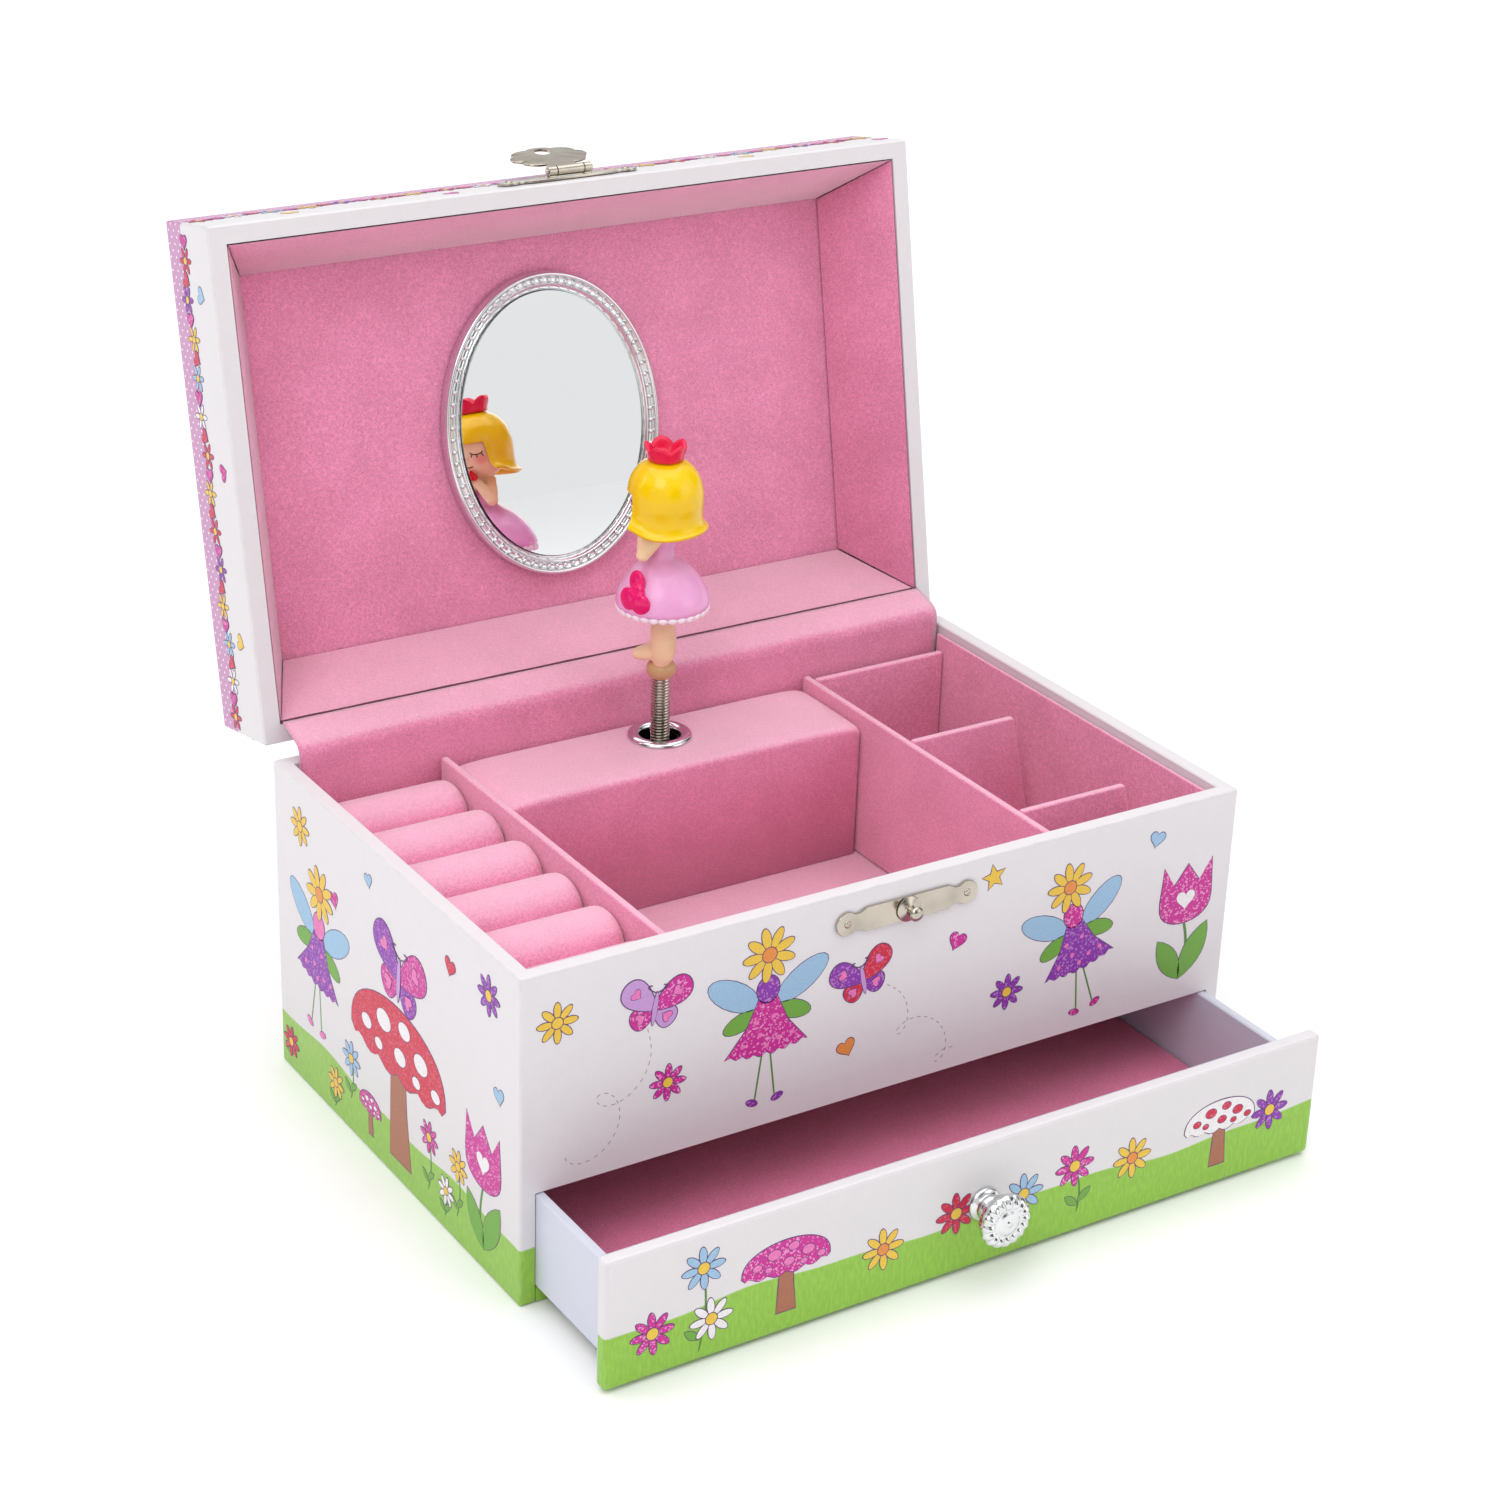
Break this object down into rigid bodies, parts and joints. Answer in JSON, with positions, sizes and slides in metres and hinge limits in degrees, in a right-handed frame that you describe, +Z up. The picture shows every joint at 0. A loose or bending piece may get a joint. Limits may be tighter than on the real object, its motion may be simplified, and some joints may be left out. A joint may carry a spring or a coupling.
{
  "type": "ballerina jewellery box",
  "caption": "Paper-covered jewellery box with a hinged lid and mirror, a lined tray with ring rolls, a drawer, and a wind-up movement turning a small dancing figure.",
  "frame": {"origin": "on the table under the middle of the case", "axes": "+X to the right along the front, +Y to the back, +Z up"},
  "size_m": [0.26, 0.2935, 0.277],
  "materials": {
    "printed_paper_board": "fibreboard wrapped in satin printed paper",
    "lavender_paper_board": "board wrapped in pale lavender paper",
    "grey_board": "plain grey board",
    "pink_flock": "short pink flock over thin foam and card",
    "nickel_plate": "nickel plated sheet steel",
    "chrome_plate": "bright plating",
    "movement_brass": "plain brass",
    "spring_steel": "bright steel",
    "mirror": "silvered",
    "skin_plastic": "painted moulding",
    "lilac_plastic": "glossy moulding",
    "yellow_plastic": "glossy moulding",
    "red_plastic": "glossy moulding"
  },
  "bodies": {
    "case": {"base_board": "printed_paper_board", "left_side_panel": "printed_paper_board", "right_side_panel": "printed_paper_board", "front_panel": "printed_paper_board", "back_panel": "printed_paper_board", "drawer_shelf": "grey_board", "tray_floor_pad": "pink_flock", "left_liner": "pink_flock", "right_liner": "pink_flock", "front_liner": "pink_flock", "left_divider": "pink_flock", "right_divider": "pink_flock", "rear_cross_divider": "pink_flock", "middle_cross_divider": "pink_flock", "front_cross_divider": "pink_flock", "ring_platform": "grey_board", "ring_roll_1": "pink_flock", "ring_roll_2": "pink_flock", "ring_roll_3": "pink_flock", "ring_roll_4": "pink_flock", "ring_roll_5": "pink_flock", "ring_roll_6": "pink_flock", "mechanism_cover": "pink_flock", "grommet": "chrome_plate", "hinge_flap": "pink_flock", "movement_bedplate": "movement_brass", "comb": "spring_steel", "left_hinge_case_leaf": "nickel_plate", "right_hinge_case_leaf": "nickel_plate", "strike_plate": "nickel_plate", "strike_stud": "nickel_plate"},
    "lid": {"lid_shell": "printed_paper_board", "lid_lining": "pink_flock", "lid_panel_pad": "pink_flock", "mirror_frame": "chrome_plate", "mirror_glass": "mirror", "left_hinge_lid_leaf": "nickel_plate", "right_hinge_lid_leaf": "nickel_plate", "hasp_base_plate": "nickel_plate", "hasp_pin": "nickel_plate"},
    "hasp": {"hasp": "nickel_plate"},
    "drawer": {"drawer_front": "printed_paper_board", "drawer_left_side": "lavender_paper_board", "drawer_right_side": "lavender_paper_board", "drawer_back": "printed_paper_board", "drawer_bottom": "grey_board", "drawer_lining": "pink_flock", "drawer_knob": "chrome_plate", "knob_screw": "spring_steel"},
    "ballerina_spring": {"ballerina_spring": "spring_steel"},
    "ballerina": {"ballerina_body": "skin_plastic", "ballerina_skirt": "lilac_plastic", "ballerina_hair": "yellow_plastic", "ballerina_crown": "red_plastic"},
    "winding_key": {"winding_key": "nickel_plate", "mainspring_barrel": "movement_brass"},
    "pinned_cylinder": {"pinned_cylinder": "movement_brass"},
    "governor": {"governor": "spring_steel"},
    "drive_spindle": {"drive_spindle": "movement_brass"},
    "stop_lever": {"stop_lever": "spring_steel"}
  },
  "joints": [
    {"name": "lid_hinge", "type": "hinge", "parent": "case", "child": "lid", "pos_m": [0, 0.0863, 0.108], "axis": [1, 0, 0], "range_deg": [0, 100.6], "deforming": ["hinge_flap"]},
    {"name": "hasp_hinge", "type": "hinge", "parent": "lid", "child": "hasp", "pos_m": [0.0015, 0.12726, 0.27522], "axis": [1, 0, 0], "range_deg": [0, 166]},
    {"name": "drawer_slide", "type": "slide", "parent": "case", "child": "drawer", "axis": [0, -1, 0], "range_m": [-0.0442, 0.06]},
    {"name": "figure_fold", "type": "hinge", "parent": "case", "child": "ballerina_spring", "pos_m": [0, 0.06, 0.112], "axis": [1, 0, 0], "range_deg": [0, 90.5], "deforming": ["ballerina_spring"]},
    {"name": "figure_spin", "type": "hinge", "parent": "ballerina_spring", "child": "ballerina", "pos_m": [0, 0.06, 0.15], "axis": [0, 0, 1], "continuous": true},
    {"name": "key_turn", "type": "hinge", "parent": "case", "child": "winding_key", "pos_m": [0, 0.07, 0.072], "axis": [0, 1, 0], "continuous": true},
    {"name": "spindle_spin", "type": "hinge", "parent": "case", "child": "drive_spindle", "pos_m": [0, 0.06, 0.085], "axis": [0, 0, 1], "continuous": true},
    {"name": "cylinder_spin", "type": "hinge", "parent": "case", "child": "pinned_cylinder", "pos_m": [0, 0.058, 0.072], "axis": [1, 0, 0], "continuous": true},
    {"name": "governor_spin", "type": "hinge", "parent": "case", "child": "governor", "pos_m": [0.02325, 0.0477, 0.075], "axis": [0, 0, 1], "continuous": true},
    {"name": "stop_lever_pivot", "type": "hinge", "parent": "case", "child": "stop_lever", "pos_m": [0.03175, 0.067, 0.09], "axis": [1, 0, 0], "range_deg": [0, 8.2]}
  ],
  "couplings": [
    {"joint": "figure_fold", "follows": "lid_hinge", "ratio": 0.8945},
    {"joint": "stop_lever_pivot", "follows": "lid_hinge", "ratio": 0.08},
    {"joint": "figure_spin", "follows": "key_turn", "ratio": -2.2},
    {"joint": "spindle_spin", "follows": "key_turn", "ratio": -2.2},
    {"joint": "cylinder_spin", "follows": "key_turn", "ratio": -1.5714},
    {"joint": "governor_spin", "follows": "key_turn", "ratio": 9.4286}
  ]
}
